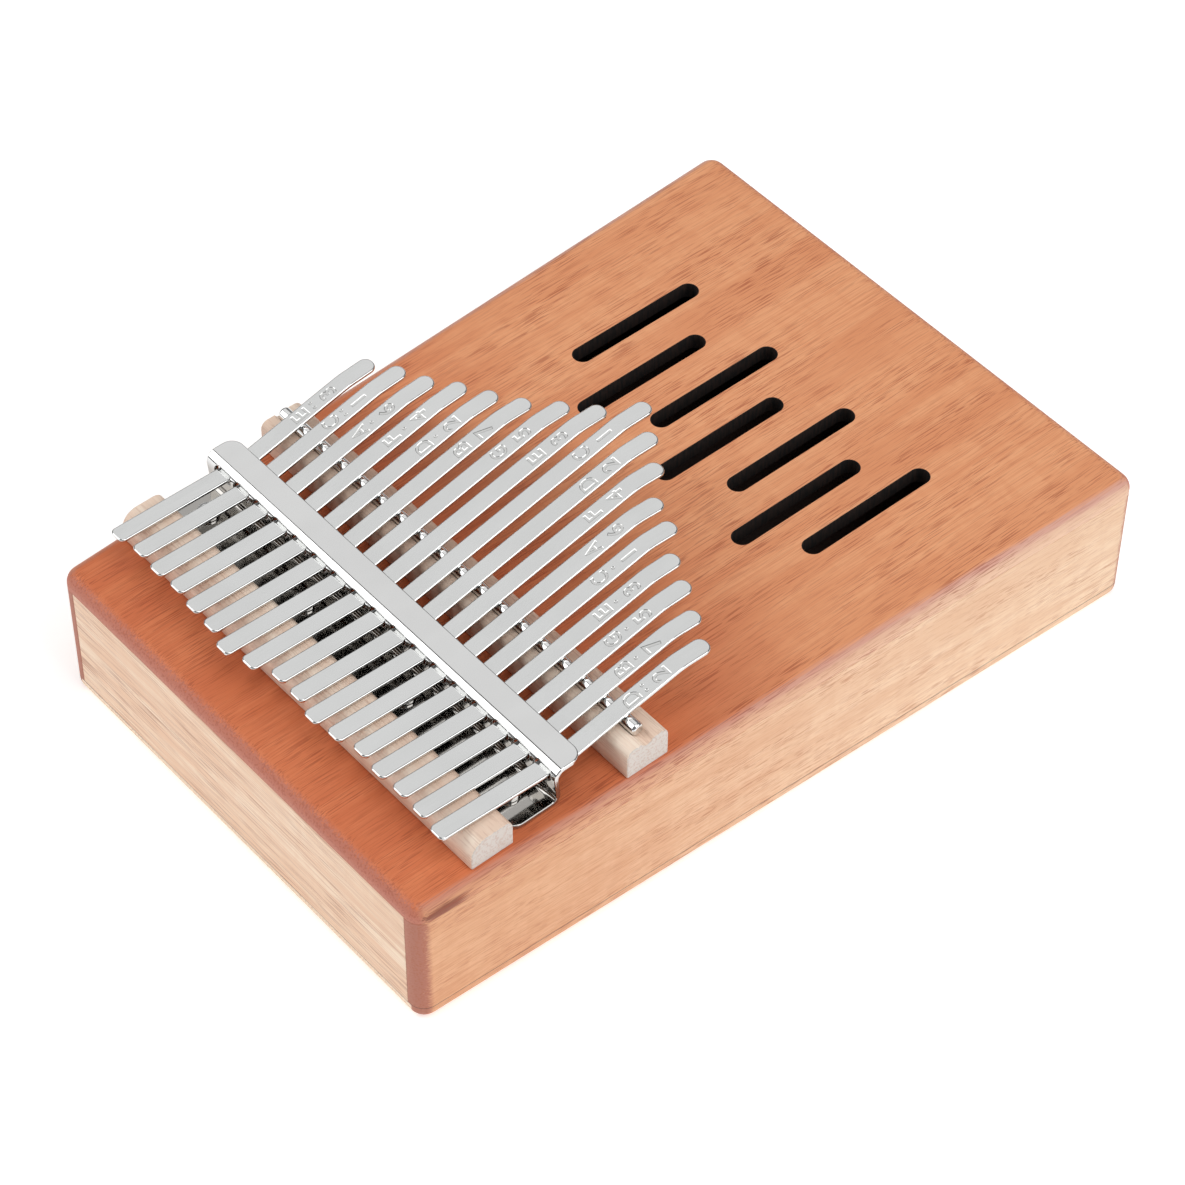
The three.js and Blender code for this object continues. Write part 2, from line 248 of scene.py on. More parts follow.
def inside(points, edges):
    """Whether points lie inside closed outlines given as edges, by the even-odd rule."""
    start, end = edges[:, 0], edges[:, 1]
    x, y = points[:, None, 0], points[:, None, 1]
    straddles = (start[:, 1] > y) != (end[:, 1] > y)
    rise = np.where(start[:, 1] == end[:, 1], 1, end[:, 1] - start[:, 1])
    crossing = start[:, 0] + (y - start[:, 1]) * (end[:, 0] - start[:, 0]) / rise
    return (straddles & (x < crossing)).sum(axis=1) % 2 == 1


# ---------------------------------------------------------------- slabs

def edge_profile(thickness, top_round, bottom_round, steps):
    """How far in, how high and at what angle from upright the surface is, from the top face to the bottom.
    The roundings hold a radius for each point of the outline."""
    rings = [(top_round * (1 - math.sin(a)), thickness - top_round * (1 - math.cos(a)), a)
             for a in np.linspace(0, math.pi / 2, steps + 1)]
    rings += [(bottom_round * (1 - math.sin(a)), bottom_round * (1 + math.cos(a)), a)
              for a in np.linspace(math.pi / 2, math.pi, steps + 1)]
    return rings


def creases_between(loops, heights):
    """Pairs of point numbers that a line at each height joins across the material."""
    flat = np.concatenate(loops)
    pairs = []
    for height in heights:
        on_line = np.flatnonzero(np.abs(flat[:, 1] - height) < ON_CREASE)
        order = on_line[np.argsort(flat[on_line, 0])]
        pairs += list(zip(order[::2].tolist(), order[1::2].tolist()))
    return pairs


class Slab:
    """A plate of any outline with rounded edges and sunk marks, flat or bent. Its edges are rounded by one
    radius, or by one for each loop of the outline. place(points, heights) gives where its points go, and
    their three axes. Its faces carry the true normals of the rounded surface, and those in holes and marks
    are told apart as cut."""

    def __init__(self, loops, thickness, place, top_round=0.1, bottom_round=0.1, steps=3, creases=(),
                 marks=None, mark_depth=0.0):
        self.points, self.heights, self.faces, self.normals, self.cut = [], [], [], [], []
        self.place = place
        loops = [with_points_at(loop, creases) for loop in loops]
        counts = [len(loop) for loop in loops]
        starts = np.concatenate([[0], np.cumsum(counts)[:-1]])
        sides = [edge_sides(loop) for loop in loops]
        out, leaving, reaching = (np.concatenate([side[k] for side in sides]) for k in range(3))
        onward = np.concatenate([start + np.roll(np.arange(count), -1)
                                 for start, count in zip(starts, counts)])
        outline = np.concatenate(loops)
        pairs = creases_between(loops, creases)
        top, bottom = (np.repeat(np.broadcast_to(r, len(loops)), counts) for r in (top_round, bottom_round))
        rings = edge_profile(thickness, top, bottom, steps)
        ids = [self.add(outline - inset[:, None] * out, height) for inset, height, _ in rings]
        for (upper, lower), ((_, _, a), (_, _, b)) in zip(zip(ids, ids[1:]), zip(rings, rings[1:])):
            self.wall(upper, lower, onward, leaving, reaching, a, b, counts[0])
        self.cap(ids[0], onward, pairs, thickness, 1, marks, mark_depth)
        self.cap(ids[-1], onward, pairs, 0, -1, None, 0)

    def add(self, points, height):
        first = sum(len(p) for p in self.points)
        self.points.append(np.asarray(points, float))
        self.heights.append(np.broadcast_to(height, len(points)).astype(float))
        return first + np.arange(len(points))

    def face(self, corners, normals, cut=False):
        self.faces.append([int(c) for c in corners])
        self.normals += [tuple(n) for n in normals]
        self.cut.append(cut)

    def wall(self, upper, lower, onward, leaving, reaching, upper_angle, lower_angle, outer_count):
        def tilted(side, angle):
            return (*(side * math.sin(angle)), math.cos(angle))

        for i, j in enumerate(onward):
            corners = (upper[i], lower[i], lower[j], upper[j])
            normals = [tilted(leaving[i], upper_angle), tilted(leaving[i], lower_angle),
                       tilted(reaching[j], lower_angle), tilted(reaching[j], upper_angle)]
            self.face(corners, normals, i >= outer_count)

    def cap(self, ids, onward, pairs, height, way, marks, mark_depth):
        """The flat face, with its marks sunk into it."""
        flat = np.concatenate(self.points)[ids]
        rim = np.stack([flat, flat[onward]], axis=1)
        given = [Vector(p) for p in flat]
        edges = [(i, int(j)) for i, j in enumerate(onward)] + pairs
        if marks is not None:
            edges += [(len(given) + 2 * k, len(given) + 2 * k + 1) for k in range(len(marks))]
            given += [Vector(p) for mark in marks for p in mark]
        made, _, triangles, origin, _, _ = delaunay_2d_cdt(given, edges, [], 0, SAME_POINT)
        made = np.array([tuple(p) for p in made])
        vertex = np.full(len(made), -1)
        for k, sources in enumerate(origin):
            on_rim = [s for s in sources if s < len(flat)]
            if on_rim:
                vertex[k] = ids[on_rim[0]]
        triangles = np.array([list(t) for t in triangles])
        corners = made[triangles]
        across, along = corners[:, 1] - corners[:, 0], corners[:, 2] - corners[:, 0]
        area = across[:, 0] * along[:, 1] - across[:, 1] * along[:, 0]
        triangles[area < 0] = triangles[area < 0][:, ::-1]
        kept = inside(corners.mean(axis=1), rim)
        triangles, middles = triangles[kept], corners.mean(axis=1)[kept]
        sunk = inside(middles, marks) if marks is not None else np.zeros(len(triangles), bool)
        loose = np.flatnonzero(vertex < 0)
        vertex[loose] = self.add(made[loose], height)
        for triangle in triangles[~sunk]:
            self.face(vertex[triangle][::way], [(0, 0, way)] * 3)
        if sunk.any():
            self.sink(made, vertex, triangles[sunk], height - mark_depth, mark_depth * MARK_SLOPE)

    def sink(self, made, vertex, triangles, bottom, spread):
        """Lowers some of the top face's triangles to a bottom that is smaller all round by the spread."""
        used = np.unique(triangles)
        rim = {(int(a), int(b)) for t in triangles for a, b in zip(t, np.roll(t, -1))}
        rim = [(a, b) for a, b in sorted(rim) if (b, a) not in rim]
        inward = np.zeros_like(made)
        for a, b in rim:
            run = unit(made[b] - made[a])
            inward[[a, b]] += (-run[1], run[0])
        square = np.maximum((inward**2).sum(axis=1, keepdims=True), 1)
        low = np.full(len(made), -1)
        low[used] = self.add((made + 2 * spread * inward / square)[used], bottom)
        for triangle in triangles:
            self.face(low[triangle], [(0, 0, 1)] * 3, True)
        for a, b in rim:
            run = unit(made[b] - made[a])
            self.face((low[b], low[a], vertex[a], vertex[b]), [(-run[1], run[0], MARK_SLOPE)] * 4, True)

    def mesh_data(self):
        points, axes = self.place(np.concatenate(self.points), np.concatenate(self.heights))
        corners = np.concatenate(self.faces)
        normals = np.einsum("ck,ckj->cj", np.array(self.normals), axes[corners])
        return points, self.faces, unit(normals), self.cut


def piece(name, parts, material, node=None, body="box", replaces=None, cut_material=None):
    """One named object from slabs or bare mesh data, riding on a body in place of CAD nodes."""
    points, faces, normals, cut = [], [], [], []
    for part in parts:
        p, f, n, c = part.mesh_data() if isinstance(part, Slab) else part
        first = sum(len(q) for q in points)
        faces += [[first + corner for corner in face] for face in f]
        points.append(np.asarray(p))
        normals.append(n)
        cut += c
    mesh = bpy.data.meshes.new(name)
    mesh.from_pydata((np.concatenate(points) * MM).tolist(), [], faces)
    mesh.polygons.foreach_set("use_smooth", [True] * len(faces))
    mesh.normals_split_custom_set(np.concatenate(normals).tolist())
    mesh.materials.append(material)
    if cut_material:
        mesh.materials.append(cut_material)
        mesh.polygons.foreach_set("material_index", [int(c) for c in cut])
    made = bpy.data.objects.new(name, mesh)
    bpy.context.scene.collection.objects.link(made)
    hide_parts(*(replaces or [node]))
    if body:
        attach(made, body)
    return made


def flat_at(axes, origin):
    """A slab that lies flat: rows of axes are the slab's two plane directions and its height."""
    axes = np.array(axes, float)

    def place(points, heights):
        local = np.column_stack([points, heights])
        return local @ axes + origin, np.broadcast_to(axes, (len(points), 3, 3))

    return place


def level(z):
    return flat_at([(1, 0, 0), (0, 1, 0), (0, 0, 1)], (0, 0, z))


def along_x(x):
    """A slab whose outline is in Y and Z, and whose thickness runs along X from x."""
    return flat_at([(0, 1, 0), (0, 0, 1), (1, 0, 0)], (x, 0, 0))


# ---------------------------------------------------------------- bent strips

class Bend:
    """The middle line of a bent strip, edge on in Y and Z, measured by the length along it."""

    def __init__(self, corners, radii):
        corners = np.array(corners, float)
        legs = unit(np.diff(corners, axis=0))
        angles = np.arctan2(legs[:, 1], legs[:, 0])
        turns = np.diff(angles)
        cut = [0, *(r * math.tan(abs(t) / 2) for r, t in zip(radii, turns)), 0]
        spans, tilts, curves = [], [], []
        for i, leg_length in enumerate(np.linalg.norm(np.diff(corners, axis=0), axis=1)):
            spans.append(leg_length - cut[i] - cut[i + 1])
            tilts.append(angles[i])
            curves.append(0.0)
            if i < len(turns):
                spans.append(radii[i] * abs(turns[i]))
                tilts.append(angles[i])
                curves.append(math.copysign(1 / radii[i], turns[i]))
        self.starts = np.concatenate([[0], np.cumsum(spans)])
        self.length = self.starts[-1]
        self.tilts, self.curves = np.array(tilts), np.array(curves)
        self.origins = [corners[0]]
        for k, span in enumerate(spans):
            self.origins.append(self.origins[-1] + self.run(k, span))
        self.origins = np.array(self.origins)

    def run(self, k, along):
        """How far the strip gets along its piece k."""
        tilt, curve = self.tilts[k], self.curves[k]
        if curve == 0:
            return along * np.array([math.cos(tilt), math.sin(tilt)])
        end = tilt + along * curve
        return np.array([math.sin(end) - math.sin(tilt), math.cos(tilt) - math.cos(end)]) / curve

    def at(self, along):
        """Points and tilts at some lengths along the strip."""
        k = np.clip(np.searchsorted(self.starts, along, side="right") - 1, 0, len(self.tilts) - 1)
        points = np.array([self.origins[i] + self.run(i, a - self.starts[i]) for i, a in zip(k, along)])
        return points, self.tilts[k] + (along - self.starts[k]) * self.curves[k]

    def steps(self, count):
        """Lengths at which each bend is creased."""
        bends = [(a, b) for a, b, curve in zip(self.starts, self.starts[1:], self.curves) if curve != 0]
        return [float(s) for a, b in bends for s in np.linspace(a, b, count + 1)]

    def length_at(self, axis, value, within):
        """The length along the strip at which its Y (axis 0) or Z (axis 1) has a value, within one piece."""
        ends = self.starts[within:within + 2]
        points, _ = self.at(ends - [0, STEP_BACK])
        share = (value - points[0, axis]) / (points[1, axis] - points[0, axis])
        return float(ends[0] + share * (ends[1] - ends[0]))


def bent(bend, thickness, turn=0.0, origin=(0, 0)):
    """Places a slab drawn in X and length along the bend, then turns it in plan about an origin."""
    cos, sin = math.cos(turn), math.sin(turn)
    plan = np.array([(cos, -sin, 0), (sin, cos, 0), (0, 0, 1)])
    pivot = np.array([origin[0], origin[1], 0])

    def place(points, heights):
        middle, tilt = bend.at(points[:, 1])
        zero, one = np.zeros(len(tilt)), np.ones(len(tilt))
        ahead = np.stack([zero, np.cos(tilt), np.sin(tilt)], axis=1)
        up = np.stack([zero, -np.sin(tilt), np.cos(tilt)], axis=1)
        across = np.stack([one, zero, zero], axis=1)
        off_middle = (heights - thickness / 2)[:, None]
        at = np.column_stack([points[:, 0], middle]) + off_middle * up - [0, origin[1], 0]
        axes = np.stack([across, ahead, up], axis=1)
        return at @ plan + pivot, axes @ plan

    return place


# ---------------------------------------------------------------- materials

def srgb(red, green, blue):
    """A colour as seen, in 0 to 255, as the linear values that a shader takes, by the sRGB standard."""
    def linear(value):
        value /= 255
        return value / 12.92 if value <= 0.04045 else ((value + 0.055) / 1.055) ** 2.4
    return (linear(red), linear(green), linear(blue), 1)


NOISE_MIDDLE = 0.5  # the value that a noise varies about
MIX_INPUTS = ("0", "6", "7")  # a colour mix's factor and its two colours
MIX_RESULT = 2


class Shader:
    """A node material with short ways to make and link its nodes."""

    def __init__(self, name, roughness, metallic=0.0):
        self.material = bpy.data.materials.new(name)
        self.material.use_nodes = True
        self.tree = self.material.node_tree
        self.surface = self.tree.nodes["Principled BSDF"]
        self.surface.inputs["Roughness"].default_value = roughness
        self.surface.inputs["Metallic"].default_value = metallic

    def node(self, kind, settings=(), **inputs):
        made = self.tree.nodes.new(kind)
        for key, value in dict(settings).items():
            setattr(made, key, value)
        for key, value in inputs.items():
            self.give(made, key.replace("_", " "), value)
        return made

    def give(self, node, key, value):
        socket = node.inputs[int(key)] if key.isdigit() else node.inputs[key]
        if isinstance(value, bpy.types.NodeSocket):
            self.tree.links.new(value, socket)
        else:
            socket.default_value = value

    def place(self, sizes):
        """Where a point is, counted in the given sizes in millimetres along X, Y and Z."""
        where = self.node("ShaderNodeTexCoord").outputs["Object"]
        scale = tuple(1 / (size * MM) for size in sizes)
        return self.node("ShaderNodeMapping", Vector=where, Scale=scale).outputs["Vector"]

    def noise(self, sizes, detail=2.0, roughness=0.5, warp=0.0):
        made = self.node("ShaderNodeTexNoise", Vector=self.place(sizes), Scale=1.0, Detail=detail,
                         Roughness=roughness, Distortion=warp)
        return made.outputs["Fac"]

    def between(self, value, low, high, to_low=0.0, to_high=1.0):
        made = self.node("ShaderNodeMapRange", {"interpolation_type": "SMOOTHSTEP"}, Value=value,
                         From_Min=low, From_Max=high, To_Min=to_low, To_Max=to_high)
        return made.outputs["Result"]

    def maths(self, operation, first, second=None):
        made = self.node("ShaderNodeMath", {"operation": operation})
        self.give(made, "0", first)
        if second is not None:
            self.give(made, "1", second)
        return made.outputs[0]

    def mix(self, factor, first, second, blend="MIX"):
        made = self.node("ShaderNodeMix", {"data_type": "RGBA", "blend_type": blend})
        for key, value in zip(MIX_INPUTS, (factor, first, second)):
            self.give(made, key, value)
        return made.outputs[MIX_RESULT]

    def multiply(self, first, second):
        return self.mix(1.0, first, second, "MULTIPLY")

    def ragged(self, noise, amount):
        """An amount up or down that follows a noise."""
        return self.maths("MULTIPLY", self.maths("SUBTRACT", noise, NOISE_MIDDLE), amount)

    def along_y(self, tint):
        """A colour that goes from one to another over a range of Y in millimetres."""
        y = self.node("ShaderNodeSeparateXYZ", Vector=self.place([1, 1, 1])).outputs[1]
        return self.mix(self.between(y, *tint[0]), tint[1], tint[2])

    def height(self):
        return self.node("ShaderNodeSeparateXYZ", Vector=self.place([1, 1, 1])).outputs[2]

    def facing(self, axis):
        """How squarely the surface faces along an axis, either way."""
        normal = self.node("ShaderNodeTexCoord").outputs["Normal"]
        parts = self.node("ShaderNodeSeparateXYZ", Vector=normal).outputs
        return self.maths("ABSOLUTE", parts[axis])

    def bump(self, height, strength, distance):
        made = self.node("ShaderNodeBump", Strength=strength, Distance=distance * MM, Height=height)
        self.give(self.surface, "Normal", made.outputs["Normal"])

    def finish(self, **inputs):
        for key, value in inputs.items():
            self.give(self.surface, key.replace("_", " "), value)
        return self.material


# Wood: sizes of its noises in millimetres, and how much of another colour each mixes in
BAND_STRETCH = 12  # a band's length, counted in its width
CLOUD_SIZES = [26, 30, 30]
CLOUD_SHARE = 0.5
SHIMMER_SIZES = (4, 13)  # along and across the grain
SHIMMER_SHARE = 0.28
PATCH_SIZES = (30, 7)  # along and across the grain
SPARSE_PORES = 0.35
SPECKLE_SIZES = [0.5, 0.5, 0.5]
SPECKLE_SHARE = 0.35
ARRIS_TURNS = ((0.1, 0.55), (0.5, 1))  # how far the surface turns where each shade starts and is full
ARRIS_RAGGED = 0.8
KNOT_EDGE = (0.45, 1.25)
KNOT_SHARE = 0.85
RAGGED = 2
WOOD_ROUGHNESS = (0.44, 0.6)
GRAIN_BUMP = (0.3, 0.05)

# Plating
HAZE = 0.96  # how bright it is in its hazy places
LINE_ROUGHNESS = 1.35  # how many times as rough it is in its faint lines
PLATING_BUMP = 0.02


def grain_sizes(along, across, axis):
    sizes = [across, across, across]
    sizes["XYZ".index(axis)] = along
    return sizes


def figured(shader, axis, light, dark, figure, lines, streak_strength):
    """Broad bands, light clouds, a faint shimmer across the grain and fine streaks along it."""
    sizes = grain_sizes(figure * BAND_STRETCH, figure, axis)
    bands = shader.noise(sizes, detail=3.0, roughness=0.55, warp=0.3)
    cloud = shader.noise(CLOUD_SIZES)
    shimmer = shader.noise(grain_sizes(*SHIMMER_SIZES, axis), warp=0.4)
    colour = shader.mix(shader.between(bands, 0.4, 0.6), light, dark)
    colour = shader.mix(shader.between(cloud, 0.35, 0.65, to_high=CLOUD_SHARE), colour, light)
    colour = shader.mix(shader.between(shimmer, 0.42, 0.6, to_high=SHIMMER_SHARE), colour, dark)
    return shader.mix(shader.between(lines, 0.47, 0.6, to_high=streak_strength), colour, dark)


def open_pores(shader, axis, length, width):
    """Where short pores are open, crowded in some patches and sparse in others."""
    fine = shader.noise(grain_sizes(length, width, axis), detail=1.0)
    patches = shader.noise(grain_sizes(*PATCH_SIZES, axis))
    crowded = shader.between(patches, 0.38, 0.62, to_low=SPARSE_PORES)
    return shader.maths("MULTIPLY", shader.between(fine, 0.53, 0.61), crowded)


def with_arris_and_highlight(shader, colour, side, lines, shades, tint):
    """Two shades that follow each other as the surface turns sideways, ragged along the streaks: partly the
    board's edge wood and partly a painted highlight on the rounded edge.
    """
    turned = shader.maths("ADD", shader.facing(side), shader.ragged(lines, ARRIS_RAGGED))
    for turns, shade in zip(ARRIS_TURNS, shades):
        tinted = shader.multiply(shade, shader.along_y(tint))
        colour = shader.mix(shader.between(turned, *turns), colour, tinted)
    return colour


def with_knot(shader, colour, lines, middle, reach, dark):
    """A dark fleck with a ragged outline."""
    away = shader.node("ShaderNodeVectorMath", {"operation": "DISTANCE"})
    shader.give(away, "0", shader.place(reach))
    shader.give(away, "1", tuple(c / r for c, r in zip(middle, reach)))
    distance = shader.maths("ADD", away.outputs["Value"], shader.ragged(lines, RAGGED))
    return shader.mix(shader.between(distance, *KNOT_EDGE, to_low=KNOT_SHARE, to_high=0), colour, dark)


def with_end_grain(shader, colour, axis, side, lines, end, corner, pore, end_from):
    """Speckled end grain where the surface faces along the grain axis."""
    end_colour = shader.mix(shader.between(shader.facing(side), 0.03, 0.2), end, corner) if corner else end
    speckle = shader.noise(SPECKLE_SIZES)
    end_colour = shader.mix(shader.between(speckle, 0.5, 0.62, to_high=SPECKLE_SHARE), end_colour, pore)
    ragged_end = shader.maths("ADD", shader.ragged(lines, RAGGED), 1)
    squarely = shader.maths("MULTIPLY", shader.facing("XYZ".index(axis)), ragged_end)
    return shader.mix(shader.between(squarely, *end_from), colour, end_colour)


def wood(name, axis, light, dark, pore, end, figure, streaks, pores, end_from=(0.3, 0.75), tint=None,
         arris=None, arris_tint=None, corner=None, knot=None, painted_shade_from=None):
    """Straight-grained wood along an axis. figure is how broad its bands are. streaks and pores hold a
    length, a width and a strength. end is the end grain's colour, and end_from says how squarely the surface
    faces along the axis where it starts and where it is full. tint holds a range of Y and the colours that
    the wood is multiplied by at its two ends; on the soundboard this is painted shade, darker towards the
    bracket. arris holds two colours that follow each other round the long edges, partly the edge wood and
    partly a painted highlight, and arris_tint is theirs. corner is the end grain's colour where it also faces
    sideways. knot holds a dark fleck's middle, reach and colour. Above a given height the wood is painted
    dark, as the shade inside the box."""
    shader = Shader(name, roughness=0.5)
    side = 0 if axis == "Y" else 1
    lines = shader.noise(grain_sizes(*streaks[:2], axis), roughness=0.6)
    colour = figured(shader, axis, light, dark, figure, lines, streaks[2])
    # on the soundboard this tint is painted shade, darker towards the bracket
    if tint:
        colour = shader.multiply(colour, shader.along_y(tint))
    # the arris colours are partly the board's edge wood and partly a painted highlight
    if arris:
        colour = with_arris_and_highlight(shader, colour, side, lines, arris, arris_tint)
    if knot:
        colour = with_knot(shader, colour, lines, *knot)
    pits = open_pores(shader, axis, *pores[:2])
    colour = shader.mix(shader.maths("MULTIPLY", pits, pores[2]), colour, pore)
    colour = with_end_grain(shader, colour, axis, side, lines, end, corner, pore, end_from)
    # painted shade: the back board's inside face is painted dark, as the inside of the box is in shade
    if painted_shade_from:
        in_painted_shade = shader.between(shader.height(), painted_shade_from, painted_shade_from + PAINTED_SHADE_FADE)
        colour = shader.mix(in_painted_shade, colour, UNLIT)
    shader.bump(shader.maths("SUBTRACT", lines, pits), *GRAIN_BUMP)
    rough = shader.between(lines, 0.2, 0.8, *WOOD_ROUGHNESS)
    return shader.finish(Base_Color=colour, Roughness=rough)


def charred():
    """The burnt walls that a laser leaves."""
    shader = Shader("charred_wood", roughness=0.75)
    soot = shader.noise([0.6, 0.6, 3], detail=3.0)
    colour = shader.mix(shader.between(soot, 0.35, 0.65), SOOT_DARK, SOOT_LIGHT)
    return shader.finish(Base_Color=colour)


def steel(name, tone, roughness, warp, brushed=0.0, rough_with_painted_shade_below=None):
    """Nickel-plated steel. warp is how uneven it is. With brushed, its faint lines are rougher still and its
    unevenness follows them. Under a range of heights that it may be given, it is rougher and painted darker,
    as shade."""
    shader = Shader(name, roughness, metallic=1.0)
    haze = shader.noise([9, 14, 9])
    hazed = tuple(HAZE * c for c in tone[:3]) + (1,)
    colour = shader.mix(shader.between(haze, 0.3, 0.7), tone, hazed)
    lines = shader.noise([0.25, 12, 0.25])
    shader.bump(lines if brushed else haze, warp, PLATING_BUMP)
    rough = shader.between(lines, 0.3, 0.7, roughness, roughness * (LINE_ROUGHNESS + brushed))
    if rough_with_painted_shade_below:
        # painted shade: darker and rougher below the given heights
        bright = shader.between(shader.height(), *rough_with_painted_shade_below)
        colour = shader.mix(bright, PAINTED_SHADE_TONE, colour)
        rough = shader.maths("ADD", rough, shader.between(bright, 0, 1, DULL_ROUGHNESS, 0))
    return shader.finish(Base_Color=colour, Roughness=rough)


# Linear colours
SOOT_DARK = (0.004, 0.003, 0.003, 1)
SOOT_LIGHT = (0.022, 0.011, 0.008, 1)
# painted shade: the colour of the shaded inside of the box
UNLIT = (0.05, 0.028, 0.022, 1)
# painted shade: the dark reflections low on the bracket's wall and foot, between and under the tines
PAINTED_SHADE_TONE = (0.4, 0.385, 0.365, 1)
WHITE = (1, 1, 1, 1)

DULL_ROUGHNESS = 0.03  # added where the plating is rough, low on the bracket where it is also painted dark as shade
# painted shade: the soundboard is multiplied darker and redder towards the bracket, where the tines and
# bracket shade it
SOUNDBOARD_PAINTED_SHADE = ([-38, 24], (0.84, 0.54, 0.42, 1), WHITE)
SIDE_TINT = ([-95, 75], (0.83, 0.67, 0.58, 1), (0.97, 1.08, 1.22, 1))
PALE_MAHOGANY = srgb(247, 206, 166)
SIDE_END_GRAIN = srgb(180, 111, 88)

SOUNDBOARD = wood("soundboard_mahogany", "Y", light=srgb(241, 171, 124), dark=srgb(228, 150, 104),
                  pore=srgb(158, 66, 36), end=srgb(196, 118, 95), figure=9, streaks=(60, 0.3, 0.65),
                  pores=(8, 0.22, 0.55), tint=SOUNDBOARD_PAINTED_SHADE,
                  # arris: partly edge wood, partly a painted highlight
                  arris=(srgb(220, 157, 132), srgb(236, 186, 148)), arris_tint=SIDE_TINT,
                  knot=(KNOT_MIDDLE, KNOT_REACH, srgb(118, 40, 14)))
SIDE_WOOD = wood("side_mahogany", "Y", light=PALE_MAHOGANY, dark=srgb(233, 182, 140),
                 pore=srgb(172, 90, 48), end=SIDE_END_GRAIN, figure=8, streaks=(34, 0.32, 0.55),
                 pores=(6, 0.25, 0.45), end_from=(0.02, 0.5), tint=SIDE_TINT)
BACK_WOOD = wood("back_mahogany", "Y", light=PALE_MAHOGANY, dark=srgb(232, 180, 138),
                 pore=srgb(164, 90, 58), end=srgb(252, 226, 200), figure=8, streaks=(34, 0.32, 0.55),
                 pores=(8, 0.28, 0.5), end_from=(0.02, 0.5), tint=SIDE_TINT, corner=SIDE_END_GRAIN,
                 painted_shade_from=PAINTED_SHADE_FROM)
END_WOOD = wood("end_mahogany", "X", light=srgb(253, 228, 202), dark=srgb(240, 200, 168),
                pore=srgb(176, 114, 84), end=srgb(196, 140, 112), figure=7, streaks=(40, 0.28, 0.75),
                pores=(12, 0.26, 0.6))
BRIDGE_WOOD = wood("bridge_beech", "X", light=srgb(250, 231, 212), dark=srgb(236, 206, 184),
                   pore=srgb(186, 142, 120), end=srgb(213, 205, 198), figure=6, streaks=(14, 0.5, 0.3),
                   pores=(4, 0.36, 0.35))
CHARRED = charred()
TINE_STEEL = steel("tine_nickel", (0.72, 0.725, 0.72, 1), roughness=0.09, warp=0.012, brushed=0.3)
ETCHED_STEEL = steel("etched_nickel", (0.7, 0.7, 0.69, 1), roughness=0.14, warp=0.02)
PLATE_STEEL = steel("bracket_nickel", (0.74, 0.74, 0.735, 1), roughness=0.05, warp=0.02,
                    # the wall and foot are painted dark below the tine slots, as shade
                    rough_with_painted_shade_below=[40.5, 43.6])
ROD_STEEL = steel("rod_nickel", (0.78, 0.78, 0.775, 1), roughness=0.08, warp=0.05)


# ---------------------------------------------------------------- sound box

def half_width(y):
    return (REAR_WIDTH + (FRONT_WIDTH - REAR_WIDTH) * (y + HALF_LENGTH) / (2 * HALF_LENGTH)) / 2


def box_outline():
    ends = (-HALF_LENGTH, HALF_LENGTH)
    corners = [(-half_width(ends[0]), ends[0]), (half_width(ends[0]), ends[0]),
               (half_width(ends[1]), ends[1]), (-half_width(ends[1]), ends[1])]
    return rounded(corners, [CORNER_RADIUS] * 4, steps=12)


def top_board():
    slots = []
    for i, x in enumerate(SLOT_X):
        y = SLOT_ROWS_Y[i % 2]
        across = (x - SLOT_WIDTH / 2, x + SLOT_WIDTH / 2)
        along = (y - SLOT_LENGTH / 2, y + SLOT_LENGTH / 2)
        slots.append(hole(rectangle(across, along, SLOT_ROUND, steps=12)))
    underside = BOX_HEIGHT - BOARD + SEAM / 2
    edges = [EDGE_RADIUS] + [SLOT_EDGE] * len(slots)
    loops = [box_outline(), *slots]
    return Slab(loops, BOX_HEIGHT - underside, level(underside), edges, SEAM_ROUND, steps=EDGE_STEPS)


def side_board(side):
    """A long side, with the box's rounded corners at its ends."""
    y = HALF_LENGTH
    outer = [(side * half_width(-y), -y), (side * half_width(y), y)]
    inner = [(side * (half_width(y) - BOARD), y), (side * (half_width(-y) - BOARD), -y)]
    radii = [CORNER_RADIUS, CORNER_RADIUS, SEAM_ROUND, SEAM_ROUND]
    outline = rounded(outer + inner, radii, steps=10)
    return wall_slab(outline if side > 0 else outline[::-1])


def end_board(y0, y1):
    """A short side between the two long ones."""
    reach = [half_width(y) - BOARD - SEAM for y in (y0, y1)]
    corners = [(-reach[0], y0), (reach[0], y0), (reach[1], y1), (-reach[1], y1)]
    return wall_slab(rounded(corners, [END_BOARD_ROUND] * 4, steps=4))


def wall_slab(outline):
    """A board that stands between the soundboard and the back board."""
    low, high = BOARD + SEAM / 2, BOX_HEIGHT - BOARD - SEAM / 2
    return Slab([outline], high - low, level(low), SEAM_ROUND, BASE_SEAM_ROUND)


def sound_box():
    piece("soundboard", [top_board()], SOUNDBOARD, "top_board", cut_material=CHARRED)
    thickness = BOARD - SEAM / 2
    back = Slab([box_outline()], thickness, level(0), BASE_SEAM_ROUND, EDGE_RADIUS, steps=EDGE_STEPS)
    piece("back", [back], BACK_WOOD, "back_board")
    piece("side_board_left", [side_board(-1)], SIDE_WOOD, "side_left")
    piece("side_board_right", [side_board(1)], SIDE_WOOD, "side_right")
    rear = end_board(-HALF_LENGTH, -HALF_LENGTH + BOARD)
    front = end_board(HALF_LENGTH - BOARD, HALF_LENGTH)
    piece("end_board_rear", [rear], END_WOOD, "end_rear")
    piece("end_board_front", [front], END_WOOD, "end_front")
    for slot in frame["nodes"]["screw_block"].material_slots:
        slot.material = BRIDGE_WOOD


# ---------------------------------------------------------------- bridges and rod

def bridge(section, x0, x1):
    return Slab([section], x1 - x0, along_x(x0), BRIDGE_END_ROUND, BRIDGE_END_ROUND, steps=4)


